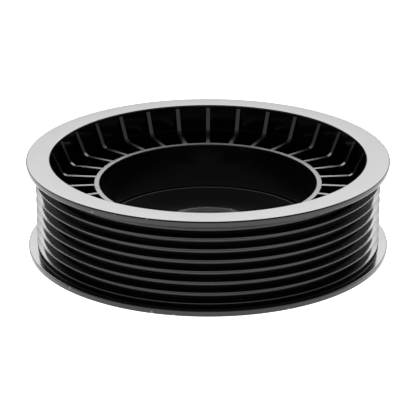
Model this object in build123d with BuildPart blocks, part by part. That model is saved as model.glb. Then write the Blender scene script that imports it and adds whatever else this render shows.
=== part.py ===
"""Electromagnetic clutch with a moulded seven-groove belt pulley, for an engine-driven compressor.

The axis is Z. Z = 0 is the plane the clutch stands on, hub side down, and +Z points at the
compressor. The field coil is fixed, the pulley and its rotor run on a bearing round it, and
the hub turns with the compressor shaft and carries a sprung armature plate.
"""

from build123d import *
from math import cos, degrees, radians, sin, tan
import os

# ---------------------------------------------------------------- driving dimensions (mm)
# Angle where the ribs, rotor slots, rivets and springs start, from +X round Z (degrees)
FIRST_ANGLE = 90.0

# Stack of parts along the axis, from the standing plane up
RIVET_HEAD = 0.8
HUB_PLATE = 2.0
SPRING_LEAF = 0.5
ARMATURE = 2.2
AIR_GAP = 0.5
ROTOR_DISC = 2.5
FIELD_GAP = 0.5
FIELD_PLATE = 2.0

# Belt rim of the pulley
RIM_WIDTH = 31.1
FLANGE_R = 59.3
FLANGE_HEIGHT = 2.9
GROOVES = 7
GROOVE_PITCH = 3.56
GROOVE_ANGLE = 40.0
CREST_FLAT = 0.4
GROOVE_DEPTH = 3.0
FLANGE_EDGE = 2.0
FLANGE_DRAFT = 0.15
END_RELIEF = 1.0
RIM_WALL = 1.9

# Sleeve, ribs and web of the pulley
SLEEVE_WALL = 1.8
SLEEVE_DROP = 9.0
FLOOR_DROP = 24.4
RIBS = 30
RIB_THICKNESS = 1.4
RIB_START_DROP = 1.0
RIB_SLOPE_RUN = 3.6
RIB_BEND_ROUND = 2.0
WEB = 3.0
WEB_RECESS = 1.5
POLE_JACKET = 2.4

# Bearing
BEARING_BORE_R = 15.0
BEARING_OUTER_R = 21.0
BEARING_WIDTH = 7.0
BALLS = 18
BALL_R = 1.75
RACE_CLEARANCE = 0.05
RACE_SHOULDER = 1.6
SEAL_THICKNESS = 0.5
SEAL_INSET = 0.3
SEAL_SEAT = 0.3
SEAL_LIP_GAP = 0.1
CAGE_WALL = 1.4
CAGE_HEIGHT = 4.6

# Carrier sleeve
NOSE_BORE_R = 13.5
NOSE_CHAMFER = 0.8
SHOULDER_STEP = 0.7
SLEEVE_PROUD = 0.2
NOSE_STOP = 1.2
NOSE_STOP_R = 11.5
FRONT_BORE_R = 12.5
CARRIER_LAND = 0.8
SNAP_RING = 1.2
SNAP_GROOVE = 0.6
SNAP_PROUD = 1.4
SNAP_GAP = 3.6

# Rotor
POLE_WALL = 2.6
OUTER_POLE_WALL = 3.0
BEARING_LIP = 1.0
BEARING_LIP_HEIGHT = 0.7
POLE_SEAT_DROP = 1.2
SLOT_WIDTH = 1.6
INNER_SLOTS = 3
OUTER_SLOTS = 6
SLOT_BRIDGE = 5.0
LINING_DEPTH = 1.0
LINING_MARGIN = 0.6
KEY_RING = 2.6
KEY_THICKNESS = 1.2

# Field coil
FIELD_CLEARANCE = 0.5
SHELL_WALL = 2.0
BOBBIN_WALL = 0.7
WINDING_DEPTH = 5.6
POTTING_WALL = 0.7
COVER = 0.5

# Terminal and locating pin
TERMINAL_WIDTH = 12.0
TERMINAL_DEPTH = 7.0
TERMINAL_HEIGHT = 7.0
TERMINAL_WALL = 1.2
BLADE_WIDTH = 2.8
BLADE_THICKNESS = 0.8
BLADE_SPACING = 4.6
BLADE_BELOW_RIM = 1.0
PIN_R = 2.0
PIN_SHANK_R = 1.5
PIN_HEIGHT = 3.5
PIN_CHAMFER = 0.5
PIN_ANGLE = -140.0

# Armature, springs and rivets
ARMATURE_INSET = 1.8
RIVET_SHANK_R = 1.75
RIVET_HEAD_R = 3.1
ARMATURE_HEAD = 1.3
ARMS = 3
HEAD_CLEARANCE = 0.9
BARRIER_WIDTH = 1.4
BARRIER_SWEEP = 24.0
LEAF_WIDTH = 9.0

# Hub
HUB_EDGE = 1.9
SHAFT_R = 6.0
BOSS_WALL = 3.2
BOSS_HEIGHT = 5.2
KEYWAY_WIDTH = 3.0
KEYWAY_DEPTH = 1.2
BOLT_HOLE_R = 3.3
SHIM = 0.5
SHIM_WALL = 1.8
WINDOW_MARGIN = 1.6

# ---------------------------------------------------------------- derived heights
z_hub = RIVET_HEAD
z_leaf = z_hub + HUB_PLATE
z_armature = z_leaf + SPRING_LEAF
z_armature_face = z_armature + ARMATURE
z_friction = z_armature_face + AIR_GAP
z_rotor_back = z_friction + ROTOR_DISC
z_field = z_rotor_back + FIELD_GAP
z_bearing = z_friction + BEARING_LIP_HEIGHT
z_bearing_top = z_bearing + BEARING_WIDTH
z_plate = z_bearing_top + FIELD_CLEARANCE
z_floor = z_plate + FIELD_PLATE
z_top = z_floor + FLOOR_DROP
z_rim = z_top - RIM_WIDTH
z_sleeve_rim = z_top - SLEEVE_DROP
z_web = z_rim + WEB_RECESS
z_web_top = z_web + WEB
z_key = z_web + (WEB - KEY_THICKNESS) / 2
z_pole_end = z_floor - POLE_SEAT_DROP
z_balls = z_bearing + BEARING_WIDTH / 2
z_snap = z_bearing - SNAP_RING
z_carrier = z_snap - CARRIER_LAND
z_carrier_top = z_floor + SLEEVE_PROUD
z_boss_web = z_leaf
z_boss_top = z_boss_web + SHIM + BOSS_HEIGHT
z_nose_stop = z_boss_top + AIR_GAP

# ---------------------------------------------------------------- derived radii
crest_r = FLANGE_R - FLANGE_HEIGHT
rim_bore_r = crest_r - GROOVE_DEPTH - RIM_WALL
rib_bend_r = rim_bore_r - RIB_SLOPE_RUN
hub_pole_r = BEARING_OUTER_R + POLE_WALL
shell_in_r = hub_pole_r + FIELD_CLEARANCE
coil_in_r = shell_in_r + SHELL_WALL
winding_in_r = coil_in_r + BOBBIN_WALL
winding_out_r = winding_in_r + WINDING_DEPTH
coil_out_r = winding_out_r + POTTING_WALL
coil_middle_r = (coil_in_r + coil_out_r) / 2
shell_out_r = coil_out_r + SHELL_WALL
sleeve_bore_r = shell_out_r + FIELD_CLEARANCE
sleeve_out_r = sleeve_bore_r + SLEEVE_WALL
pole_out_r = sleeve_bore_r + OUTER_POLE_WALL
jacket_r = pole_out_r + POLE_JACKET
key_r = pole_out_r + KEY_RING
inner_slot_r = coil_in_r + SLOT_WIDTH / 2
outer_slot_r = coil_out_r - SLOT_WIDTH / 2
lining_in_r = inner_slot_r + SLOT_WIDTH / 2 + LINING_MARGIN
lining_out_r = outer_slot_r - SLOT_WIDTH / 2 - LINING_MARGIN
shoulder_r = BEARING_BORE_R + SHOULDER_STEP
ball_pitch_r = (BEARING_BORE_R + BEARING_OUTER_R) / 2
race_r = BALL_R + RACE_CLEARANCE
inner_land_r = BEARING_BORE_R + RACE_SHOULDER
outer_land_r = BEARING_OUTER_R - RACE_SHOULDER
armature_in_r = hub_pole_r
armature_out_r = pole_out_r - ARMATURE_INSET
rivet_pitch_r = (armature_in_r + armature_out_r) / 2
hub_plate_r = rivet_pitch_r + RIVET_HEAD_R + HUB_EDGE
boss_r = SHAFT_R + BOSS_WALL
shim_r = SHAFT_R - KEYWAY_DEPTH / 2
crest_margin = (RIM_WIDTH - GROOVES * GROOVE_PITCH) / 2

os.makedirs("parts", exist_ok=True)


# ---------------------------------------------------------------- helpers
def section(r_in, r_out, z_low, z_high, mode=Mode.ADD):
    """A rectangle in the half plane X >= 0, to be turned round Z into a ring."""
    with Locations(((r_in + r_out) / 2, (z_low + z_high) / 2)):
        Rectangle(r_out - r_in, z_high - z_low, mode=mode)


def arc_slots(plane, radius, width, count, sweep, start):
    """A ring of curved slots with round ends, as a sketch on the given plane."""
    with BuildSketch(plane) as slots:
        for index in range(count):
            middle = start + index * 360 / count
            with BuildLine():
                arc = CenterArc((0, 0), radius, middle - sweep / 2, sweep)
            SlotArc(arc, width)
    return slots.sketch


def save(built, name):
    """Label a finished piece and write it to its own file."""
    built.part.label = name
    export_step(built.part, f"parts/{name}.step")


# ---------------------------------------------------------------- pulley
# One rib: its top edge leaves the rim just below the top face, drops steeply to a rounded
# bend, then runs level to the rim of the sleeve.
with BuildPart() as rib:
    with BuildSketch(Plane.XZ):
        with BuildLine():
            FilletPolyline(
                (sleeve_bore_r + SLEEVE_WALL / 2, z_web),
                (sleeve_bore_r + SLEEVE_WALL / 2, z_sleeve_rim),
                (rib_bend_r, z_sleeve_rim),
                (rim_bore_r, z_top - RIB_START_DROP),
                (rim_bore_r + RIB_THICKNESS / 2, z_top - RIB_START_DROP),
                (rim_bore_r + RIB_THICKNESS / 2, z_web),
                radius=[0, RIB_BEND_ROUND, 0, 0],
            )
            Line(
                (rim_bore_r + RIB_THICKNESS / 2, z_web),
                (sleeve_bore_r + SLEEVE_WALL / 2, z_web),
            )
        make_face()
    extrude(amount=RIB_THICKNESS / 2, both=True)

with BuildPart() as pulley_body:
    with BuildSketch(Plane.XZ):
        section(rim_bore_r, FLANGE_R, z_rim, z_top)
        section(sleeve_bore_r, sleeve_out_r, z_web, z_sleeve_rim)
        section(sleeve_bore_r, jacket_r, z_rim, z_pole_end + WEB)
        section(jacket_r, rim_bore_r, z_web, z_web_top)
        # belt channel between the two flanges, relieved beside the outermost crests
        with BuildLine():
            Polyline(
                (FLANGE_R, z_rim + FLANGE_EDGE),
                (crest_r - END_RELIEF, z_rim + FLANGE_EDGE + FLANGE_DRAFT),
                (crest_r, z_rim + crest_margin - CREST_FLAT / 2),
                (crest_r, z_top - crest_margin + CREST_FLAT / 2),
                (crest_r - END_RELIEF, z_top - FLANGE_EDGE - FLANGE_DRAFT),
                (FLANGE_R, z_top - FLANGE_EDGE),
                close=True,
            )
        make_face(mode=Mode.SUBTRACT)
        # grooves between the crests
        for index in range(GROOVES):
            z_groove = z_rim + crest_margin + (index + 0.5) * GROOVE_PITCH
            mouth = GROOVE_PITCH / 2 - CREST_FLAT / 2
            root = mouth - GROOVE_DEPTH * tan(radians(GROOVE_ANGLE / 2))
            with BuildLine():
                Polyline(
                    (crest_r, z_groove - mouth),
                    (crest_r - GROOVE_DEPTH, z_groove - root),
                    (crest_r - GROOVE_DEPTH, z_groove + root),
                    (crest_r, z_groove + mouth),
                    close=True,
                )
            make_face(mode=Mode.SUBTRACT)
    revolve(axis=Axis.Z)
    with PolarLocations(0, RIBS, start_angle=FIRST_ANGLE):
        add(rib.part)
    # room for the rotor's outer pole and its keying ring, which the resin is moulded round
    with BuildSketch(Plane.XZ):
        section(sleeve_bore_r, pole_out_r, z_rim, z_pole_end)
        section(pole_out_r, key_r, z_key, z_key + KEY_THICKNESS)
    revolve(axis=Axis.Z, mode=Mode.SUBTRACT)
save(pulley_body, "pulley_body")

# Steel rotor: bearing seat, inner pole, slotted friction disc and outer pole in one piece
with BuildPart() as rotor:
    with BuildSketch(Plane.XZ):
        section(BEARING_OUTER_R, hub_pole_r, z_friction, z_bearing_top)
        section(BEARING_OUTER_R - BEARING_LIP, hub_pole_r, z_friction, z_bearing)
        section(hub_pole_r, pole_out_r, z_friction, z_rotor_back)
        section(sleeve_bore_r, pole_out_r, z_friction, z_pole_end)
        section(pole_out_r, key_r, z_key, z_key + KEY_THICKNESS)
        section(lining_in_r, lining_out_r, z_friction, z_friction + LINING_DEPTH, Mode.SUBTRACT)
    revolve(axis=Axis.Z)
    inner_sweep = 360 / INNER_SLOTS - degrees((SLOT_BRIDGE + SLOT_WIDTH) / inner_slot_r)
    outer_sweep = 360 / OUTER_SLOTS - degrees((SLOT_BRIDGE + SLOT_WIDTH) / outer_slot_r)
    face = Plane.XY.offset(z_friction)
    outer_start = FIRST_ANGLE - 180 / OUTER_SLOTS
    inner_slots = arc_slots(
        face, inner_slot_r, SLOT_WIDTH, INNER_SLOTS, inner_sweep, FIRST_ANGLE
    )
    outer_slots = arc_slots(
        face, outer_slot_r, SLOT_WIDTH, OUTER_SLOTS, outer_sweep, outer_start
    )
    extrude(inner_slots, amount=ROTOR_DISC, mode=Mode.SUBTRACT)
    extrude(outer_slots, amount=ROTOR_DISC, mode=Mode.SUBTRACT)
save(rotor, "rotor")

# Friction ring let into the rotor's face, flush with it
with BuildPart() as friction_lining:
    with BuildSketch(Plane.XZ):
        section(lining_in_r, lining_out_r, z_friction, z_friction + LINING_DEPTH)
    revolve(axis=Axis.Z)
save(friction_lining, "friction_lining")

# ---------------------------------------------------------------- bearing
with BuildPart() as bearing_outer_ring:
    with BuildSketch(Plane.XZ):
        section(outer_land_r, BEARING_OUTER_R, z_bearing, z_bearing_top)
        for z_seat in (
            z_bearing + SEAL_INSET,
            z_bearing_top - SEAL_INSET - SEAL_THICKNESS,
        ):
            section(
                outer_land_r, outer_land_r + SEAL_SEAT, z_seat, z_seat + SEAL_THICKNESS,
                Mode.SUBTRACT,
            )
        with Locations((ball_pitch_r, z_balls)):
            Circle(race_r, mode=Mode.SUBTRACT)
    revolve(axis=Axis.Z)
save(bearing_outer_ring, "bearing_outer_ring")

with BuildPart() as bearing_inner_ring:
    with BuildSketch(Plane.XZ):
        section(BEARING_BORE_R, inner_land_r, z_bearing, z_bearing_top)
        with Locations((ball_pitch_r, z_balls)):
            Circle(race_r, mode=Mode.SUBTRACT)
    revolve(axis=Axis.Z)
save(bearing_inner_ring, "bearing_inner_ring")

with BuildPart() as bearing_balls:
    with Locations(Plane.XY.offset(z_balls)):
        with PolarLocations(ball_pitch_r, BALLS):
            Sphere(BALL_R)
save(bearing_balls, "bearing_balls")

# Cage ring with a round pocket for each ball
with BuildPart() as bearing_cage:
    with BuildSketch(Plane.XZ):
        section(
            ball_pitch_r - CAGE_WALL / 2,
            ball_pitch_r + CAGE_WALL / 2,
            z_balls - CAGE_HEIGHT / 2,
            z_balls + CAGE_HEIGHT / 2,
        )
    revolve(axis=Axis.Z)
    with Locations(Plane.XY.offset(z_balls)):
        with PolarLocations(ball_pitch_r, BALLS):
            Cylinder(race_r, 2 * CAGE_WALL, rotation=(0, 90, 0), mode=Mode.SUBTRACT)
save(bearing_cage, "bearing_cage")

for seal_name, z_seal in (
    ("bearing_seal_front", z_bearing + SEAL_INSET),
    ("bearing_seal_rear", z_bearing_top - SEAL_INSET - SEAL_THICKNESS),
):
    with BuildPart() as bearing_seal:
        with BuildSketch(Plane.XZ):
            section(
                inner_land_r + SEAL_LIP_GAP, outer_land_r + SEAL_SEAT, z_seal, z_seal + SEAL_THICKNESS
            )
        revolve(axis=Axis.Z)
    save(bearing_seal, seal_name)

# ---------------------------------------------------------------- fixed field assembly
# Sleeve that sits on the compressor's nose and carries the bearing and the field
with BuildPart() as carrier_sleeve:
    with BuildSketch(Plane.XZ):
        section(NOSE_STOP_R, shoulder_r, z_bearing_top, z_carrier_top)
        section(NOSE_STOP_R, BEARING_BORE_R, z_carrier, z_bearing_top)
        section(NOSE_STOP_R, NOSE_BORE_R, z_nose_stop + NOSE_STOP, z_carrier_top, Mode.SUBTRACT)
        section(NOSE_STOP_R, FRONT_BORE_R, z_carrier, z_nose_stop, Mode.SUBTRACT)
        section(BEARING_BORE_R - SNAP_GROOVE, BEARING_BORE_R, z_snap, z_bearing, Mode.SUBTRACT)
    revolve(axis=Axis.Z)
    top_edges = edges().filter_by(GeomType.CIRCLE).group_by(Axis.Z)[-1]
    chamfer(top_edges.sort_by(SortBy.RADIUS)[0], length=NOSE_CHAMFER)
save(carrier_sleeve, "carrier_sleeve")

# Split spring ring in the sleeve's groove, behind the bearing's inner ring
with BuildPart() as bearing_snap_ring:
    with BuildSketch(Plane.XY.offset(z_snap)):
        Circle(BEARING_BORE_R + SNAP_PROUD)
        Circle(BEARING_BORE_R - SNAP_GROOVE, mode=Mode.SUBTRACT)
        with Locations((0, BEARING_BORE_R)):
            Rectangle(SNAP_GAP, 2 * (SNAP_GROOVE + SNAP_PROUD), mode=Mode.SUBTRACT)
    extrude(amount=SNAP_RING)
save(bearing_snap_ring, "bearing_snap_ring")

# Steel shell round the coil, closed by its back plate and open towards the rotor
with BuildPart() as field_shell:
    with BuildSketch(Plane.XZ):
        section(shoulder_r, shell_out_r, z_plate, z_floor)
        section(shell_in_r, coil_in_r, z_field, z_plate)
        section(coil_out_r, shell_out_r, z_field, z_plate)
    revolve(axis=Axis.Z)
    # window for the terminal's foot
    with BuildSketch(Plane.XY.offset(z_plate)):
        with Locations((0, -coil_middle_r)):
            Rectangle(TERMINAL_WIDTH - 2 * TERMINAL_WALL, TERMINAL_DEPTH - 2 * TERMINAL_WALL)
    extrude(amount=FIELD_PLATE, mode=Mode.SUBTRACT)
    # seat of the locating pin's shank
    with BuildSketch(Plane.XY.offset(z_plate)):
        with PolarLocations(coil_middle_r, 1, start_angle=PIN_ANGLE):
            Circle(PIN_SHANK_R)
    extrude(amount=FIELD_PLATE, mode=Mode.SUBTRACT)
save(field_shell, "field_shell")

# Moulded bobbin that the wire is wound on
with BuildPart() as coil_bobbin:
    with BuildSketch(Plane.XZ):
        section(coil_in_r, winding_in_r, z_field + COVER, z_plate)
        section(winding_in_r, winding_out_r, z_field + COVER, z_field + COVER + BOBBIN_WALL)
        section(winding_in_r, winding_out_r, z_plate - BOBBIN_WALL, z_plate)
    revolve(axis=Axis.Z)
save(coil_bobbin, "coil_bobbin")

with BuildPart() as coil_winding:
    with BuildSketch(Plane.XZ):
        section(
            winding_in_r, winding_out_r, z_field + COVER + BOBBIN_WALL, z_plate - BOBBIN_WALL
        )
    revolve(axis=Axis.Z)
save(coil_winding, "coil_winding")

# Cast resin that fills the shell round the bobbin and covers its open face
with BuildPart() as coil_potting:
    with BuildSketch(Plane.XZ):
        section(coil_in_r, coil_out_r, z_field, z_field + COVER)
        section(winding_out_r, coil_out_r, z_field + COVER, z_plate)
    revolve(axis=Axis.Z)
save(coil_potting, "coil_potting")

# Terminal housing: a shell with two blades inside, its foot through the back plate
with BuildPart() as terminal_housing:
    with BuildSketch(Plane.XY.offset(z_floor)):
        with Locations((0, -coil_middle_r)):
            RectangleRounded(TERMINAL_WIDTH, TERMINAL_DEPTH, TERMINAL_WALL)
    extrude(amount=TERMINAL_HEIGHT)
    with BuildSketch(Plane.XY.offset(z_plate)):
        with Locations((0, -coil_middle_r)):
            Rectangle(TERMINAL_WIDTH - 2 * TERMINAL_WALL, TERMINAL_DEPTH - 2 * TERMINAL_WALL)
    extrude(amount=FIELD_PLATE)
    with BuildSketch(Plane.XY.offset(z_floor + TERMINAL_WALL)):
        with Locations((0, -coil_middle_r)):
            Rectangle(TERMINAL_WIDTH - 2 * TERMINAL_WALL, TERMINAL_DEPTH - 2 * TERMINAL_WALL)
    extrude(amount=TERMINAL_HEIGHT, mode=Mode.SUBTRACT)
    with BuildSketch(Plane.XY.offset(z_plate)):
        with Locations((0, -coil_middle_r)):
            with GridLocations(BLADE_SPACING, 0, 2, 1):
                Rectangle(BLADE_WIDTH, BLADE_THICKNESS)
    extrude(amount=FIELD_PLATE + TERMINAL_WALL, mode=Mode.SUBTRACT)
save(terminal_housing, "terminal_housing")

with BuildPart() as terminal_blades:
    with BuildSketch(Plane.XY.offset(z_plate)):
        with Locations((0, -coil_middle_r)):
            with GridLocations(BLADE_SPACING, 0, 2, 1):
                Rectangle(BLADE_WIDTH, BLADE_THICKNESS)
    extrude(amount=FIELD_PLATE + TERMINAL_HEIGHT - BLADE_BELOW_RIM)
save(terminal_blades, "terminal_blades")

# Shouldered pin that stops the field turning on the compressor, its shank in the back plate
with BuildPart() as locating_pin:
    with BuildSketch(Plane.XY.offset(z_plate)):
        with PolarLocations(coil_middle_r, 1, start_angle=PIN_ANGLE):
            Circle(PIN_SHANK_R)
    extrude(amount=FIELD_PLATE)
    with BuildSketch(Plane.XY.offset(z_floor)):
        with PolarLocations(coil_middle_r, 1, start_angle=PIN_ANGLE):
            Circle(PIN_R)
    extrude(amount=PIN_HEIGHT)
    chamfer(edges().sort_by(Axis.Z)[-1], length=PIN_CHAMFER)
save(locating_pin, "locating_pin")

# ---------------------------------------------------------------- armature and springs
arm_step = 360 / ARMS
rear_head_r = RIVET_HEAD_R + HEAD_CLEARANCE

with BuildPart() as armature_plate:
    with BuildSketch(Plane.XY.offset(z_armature)):
        Circle(armature_out_r)
        Circle(armature_in_r, mode=Mode.SUBTRACT)
        # clearance for the rear heads of the hub rivets
        with PolarLocations(rivet_pitch_r, ARMS, start_angle=FIRST_ANGLE):
            Circle(rear_head_r, mode=Mode.SUBTRACT)
        # holes for its own rivets
        with PolarLocations(rivet_pitch_r, ARMS, start_angle=FIRST_ANGLE + arm_step / 2):
            Circle(RIVET_SHANK_R, mode=Mode.SUBTRACT)
    extrude(amount=ARMATURE)
    # countersinks in the friction face
    with Locations(Plane.XY.offset(z_armature_face)):
        with PolarLocations(rivet_pitch_r, ARMS, start_angle=FIRST_ANGLE + arm_step / 2):
            Cone(
                RIVET_SHANK_R, RIVET_HEAD_R, RIVET_HEAD_R - RIVET_SHANK_R,
                align=(Align.CENTER, Align.CENTER, Align.MAX), mode=Mode.SUBTRACT,
            )
    barriers = arc_slots(
        Plane.XY.offset(z_armature), coil_middle_r, BARRIER_WIDTH,
        2 * ARMS, BARRIER_SWEEP, FIRST_ANGLE + arm_step / 4,
    )
    extrude(barriers, amount=ARMATURE, mode=Mode.SUBTRACT)
save(armature_plate, "armature_plate")

with BuildPart() as armature_rivets:
    with BuildSketch(Plane.XY.offset(z_leaf - ARMATURE_HEAD)):
        with PolarLocations(rivet_pitch_r, ARMS, start_angle=FIRST_ANGLE + arm_step / 2):
            Circle(RIVET_HEAD_R)
    extrude(amount=ARMATURE_HEAD)
    with BuildSketch(Plane.XY.offset(z_leaf)):
        with PolarLocations(rivet_pitch_r, ARMS, start_angle=FIRST_ANGLE + arm_step / 2):
            Circle(RIVET_SHANK_R)
    extrude(amount=SPRING_LEAF + ARMATURE)
    with Locations(Plane.XY.offset(z_armature_face)):
        with PolarLocations(rivet_pitch_r, ARMS, start_angle=FIRST_ANGLE + arm_step / 2):
            Cone(
                RIVET_SHANK_R, RIVET_HEAD_R, RIVET_HEAD_R - RIVET_SHANK_R,
                align=(Align.CENTER, Align.CENTER, Align.MAX),
            )
save(armature_rivets, "armature_rivets")

# Three leaves, each from a hub rivet to the next armature rivet round
leaf_length = 2 * rivet_pitch_r * sin(radians(arm_step / 4))
leaf_middle_r = rivet_pitch_r * cos(radians(arm_step / 4))
for index in range(ARMS):
    leaf_angle = FIRST_ANGLE + arm_step * index + arm_step / 4
    leaf_plane = Plane.XY.rotated((0, 0, leaf_angle)).offset(z_leaf)
    with BuildPart() as leaf_spring:
        with BuildSketch(leaf_plane):
            with Locations((leaf_middle_r, 0)):
                SlotCenterToCenter(leaf_length, LEAF_WIDTH, rotation=90)
            with Locations((leaf_middle_r, -leaf_length / 2), (leaf_middle_r, leaf_length / 2)):
                Circle(RIVET_SHANK_R, mode=Mode.SUBTRACT)
        extrude(amount=SPRING_LEAF)
    save(leaf_spring, f"leaf_spring_{index + 1}")

# ---------------------------------------------------------------- hub
window_r = RIVET_HEAD_R + WINDOW_MARGIN
with BuildPart() as hub:
    with BuildSketch(Plane.XY.offset(z_hub)):
        Circle(hub_plate_r)
        # windows round the armature's rivet heads, open at the plate's edge
        with PolarLocations(
            rivet_pitch_r + hub_plate_r / 2, ARMS, start_angle=FIRST_ANGLE + arm_step / 2
        ):
            SlotCenterToCenter(hub_plate_r, 2 * window_r, mode=Mode.SUBTRACT)
        with PolarLocations(rivet_pitch_r, ARMS, start_angle=FIRST_ANGLE):
            Circle(RIVET_SHANK_R, mode=Mode.SUBTRACT)
    extrude(amount=HUB_PLATE)
    with BuildSketch(Plane.XY.offset(z_boss_web)):
        Circle(boss_r)
    extrude(amount=z_boss_top - z_boss_web)
    with BuildSketch(Plane.XY.offset(z_hub)):
        Circle(BOLT_HOLE_R)
    extrude(amount=z_boss_top - z_hub, mode=Mode.SUBTRACT)
    # pocket for the shim at the bottom of the bore
    with BuildSketch(Plane.XY.offset(z_boss_web)):
        Circle(shim_r)
    extrude(amount=SHIM, mode=Mode.SUBTRACT)
    with BuildSketch(Plane.XY.offset(z_boss_web + SHIM)):
        Circle(SHAFT_R)
        with Locations((0, SHAFT_R)):
            Rectangle(KEYWAY_WIDTH, 2 * KEYWAY_DEPTH)
    extrude(amount=BOSS_HEIGHT, mode=Mode.SUBTRACT)
save(hub, "hub")

with BuildPart() as hub_rivets:
    with BuildSketch(Plane.XY):
        with PolarLocations(rivet_pitch_r, ARMS, start_angle=FIRST_ANGLE):
            Circle(RIVET_HEAD_R)
    extrude(amount=RIVET_HEAD)
    with BuildSketch(Plane.XY.offset(z_hub)):
        with PolarLocations(rivet_pitch_r, ARMS, start_angle=FIRST_ANGLE):
            Circle(RIVET_SHANK_R)
    extrude(amount=HUB_PLATE + SPRING_LEAF)
    with BuildSketch(Plane.XY.offset(z_armature)):
        with PolarLocations(rivet_pitch_r, ARMS, start_angle=FIRST_ANGLE):
            Circle(RIVET_HEAD_R)
    extrude(amount=ARMATURE_HEAD)
save(hub_rivets, "hub_rivets")

# Shim that sets the air gap
with BuildPart() as hub_shim:
    with BuildSketch(Plane.XY.offset(z_boss_web)):
        Circle(shim_r)
        Circle(shim_r - SHIM_WALL, mode=Mode.SUBTRACT)
    extrude(amount=SHIM)
save(hub_shim, "hub_shim")

cage_ratio = (1 + BALL_R / ball_pitch_r) / 2
print(f"height {z_top:.2f}  diameter {2 * FLANGE_R:.2f}  cage to pulley ratio {cage_ratio:.4f}")
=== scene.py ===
"""Looks of an electromagnetic clutch with a moulded belt pulley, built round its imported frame.

Z is the clutch's axis, hub side down. A piece is modelled in millimetres, and its finished mesh
is scaled to the metres of the frame. Sizes that other pieces share come from the frame's boxes.
"""

import logging
import math
from dataclasses import dataclass, field
from enum import Enum
from typing import Callable, Iterable, NamedTuple, Sequence, Union

import bmesh
import bpy
from mathutils import Matrix, Vector


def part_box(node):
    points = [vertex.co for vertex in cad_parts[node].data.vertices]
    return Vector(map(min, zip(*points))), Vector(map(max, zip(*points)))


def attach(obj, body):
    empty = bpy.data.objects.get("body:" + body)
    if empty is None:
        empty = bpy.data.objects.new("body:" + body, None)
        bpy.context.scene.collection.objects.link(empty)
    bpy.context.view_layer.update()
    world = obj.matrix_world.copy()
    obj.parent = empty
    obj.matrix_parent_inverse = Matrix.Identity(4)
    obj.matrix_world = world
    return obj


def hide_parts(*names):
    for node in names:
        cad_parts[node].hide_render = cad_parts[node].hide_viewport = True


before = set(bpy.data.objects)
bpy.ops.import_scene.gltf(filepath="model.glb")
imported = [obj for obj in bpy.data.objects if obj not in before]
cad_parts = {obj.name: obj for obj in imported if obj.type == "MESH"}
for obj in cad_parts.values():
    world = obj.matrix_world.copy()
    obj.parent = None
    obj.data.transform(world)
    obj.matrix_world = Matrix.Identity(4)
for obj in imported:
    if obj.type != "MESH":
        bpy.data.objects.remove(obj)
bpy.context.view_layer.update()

log = logging.getLogger("clutch")

MM = 0.001
TURN = 2 * math.pi
FULL_STEPS = 288
SMALL_STEPS = 72
FIRST_ANGLE = 90.0
MERGE = 1e-4
OVERCUT = 1.0
NEARLY_ALL = 0.998
ROUND_END = 16

Colour = tuple[float, float, float]
Mesh = bmesh.types.BMesh


# ---------------------------------------------------------------- names
class Body(Enum):
    """The clutch's moving bodies."""

    FIELD = "field"
    PULLEY = "pulley"
    CAGE = "ball_cage"
    HUB = "hub"
    ARMATURE = "armature"


class Slot(Enum):
    """The record's material slots."""

    MOULDED_RESIN = "moulded_resin"
    COATED_STEEL = "coated_steel"
    FRICTION_COMPOUND = "friction_compound"
    MACHINED_STEEL = "machined_steel"
    PLATED_STEEL = "plated_steel"
    RIVET_STEEL = "rivet_steel"
    SPRING_STEEL = "spring_steel"
    BEARING_STEEL = "bearing_steel"
    CAGE_NYLON = "cage_nylon"
    SEAL_RUBBER = "seal_rubber"
    COPPER_WIRE = "copper_wire"
    POTTING_RESIN = "potting_resin"
    TERMINAL_PLASTIC = "terminal_plastic"
    TINNED_BRASS = "tinned_brass"


# ---------------------------------------------------------------- shader graph
class Signal:
    """One output socket of a shader graph, which takes part in Python expressions."""

    def __init__(self, graph: "Graph", socket: bpy.types.NodeSocket) -> None:
        """Wrap a socket.

        Args:
            graph: The graph that the socket belongs to.
            socket: The output socket.
        """
        self.graph = graph
        self.socket = socket

    def math(self, operation: str, *values: "Value", swap: bool = False) -> "Signal":
        """Add a Math node on this signal.

        Args:
            operation: The node's operation.
            values: The other operands.
            swap: Put this signal after the first other operand.

        Returns:
            The node's result.
        """
        operands = [self, *values]
        if swap:
            operands = [values[0], self, *values[1:]]
        return self.graph.node("ShaderNodeMath", {"operation": operation}, dict(enumerate(operands)))

    def __add__(self, other: "Value") -> "Signal":
        """Sum."""
        return self.math("ADD", other)

    def __sub__(self, other: "Value") -> "Signal":
        """Difference."""
        return self.math("SUBTRACT", other)

    def __mul__(self, other: "Value") -> "Signal":
        """Product."""
        return self.math("MULTIPLY", other)

    def __truediv__(self, other: "Value") -> "Signal":
        """Quotient."""
        return self.math("DIVIDE", other)

    def __rsub__(self, other: "Value") -> "Signal":
        """Difference from a number."""
        return self.math("SUBTRACT", other, swap=True)

    __radd__ = __add__
    __rmul__ = __mul__

    def step(self, low: float, high: float) -> "Signal":
        """Rise smoothly from 0 at low to 1 at high, or fall where low is the larger."""
        limits = {"From Min": min(low, high), "From Max": max(low, high)}
        ends = {"To Min": float(low > high), "To Max": float(low < high)}
        return self.graph.node(
            "ShaderNodeMapRange", {"interpolation_type": "SMOOTHSTEP"}, {"Value": self, **limits, **ends}
        )

    def wave(self, length: float) -> "Signal":
        """Swing between -1 and 1 once in each length."""
        return (self * (TURN / length)).math("SINE")


Value = Union[Signal, float, Colour, Vector]


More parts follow.
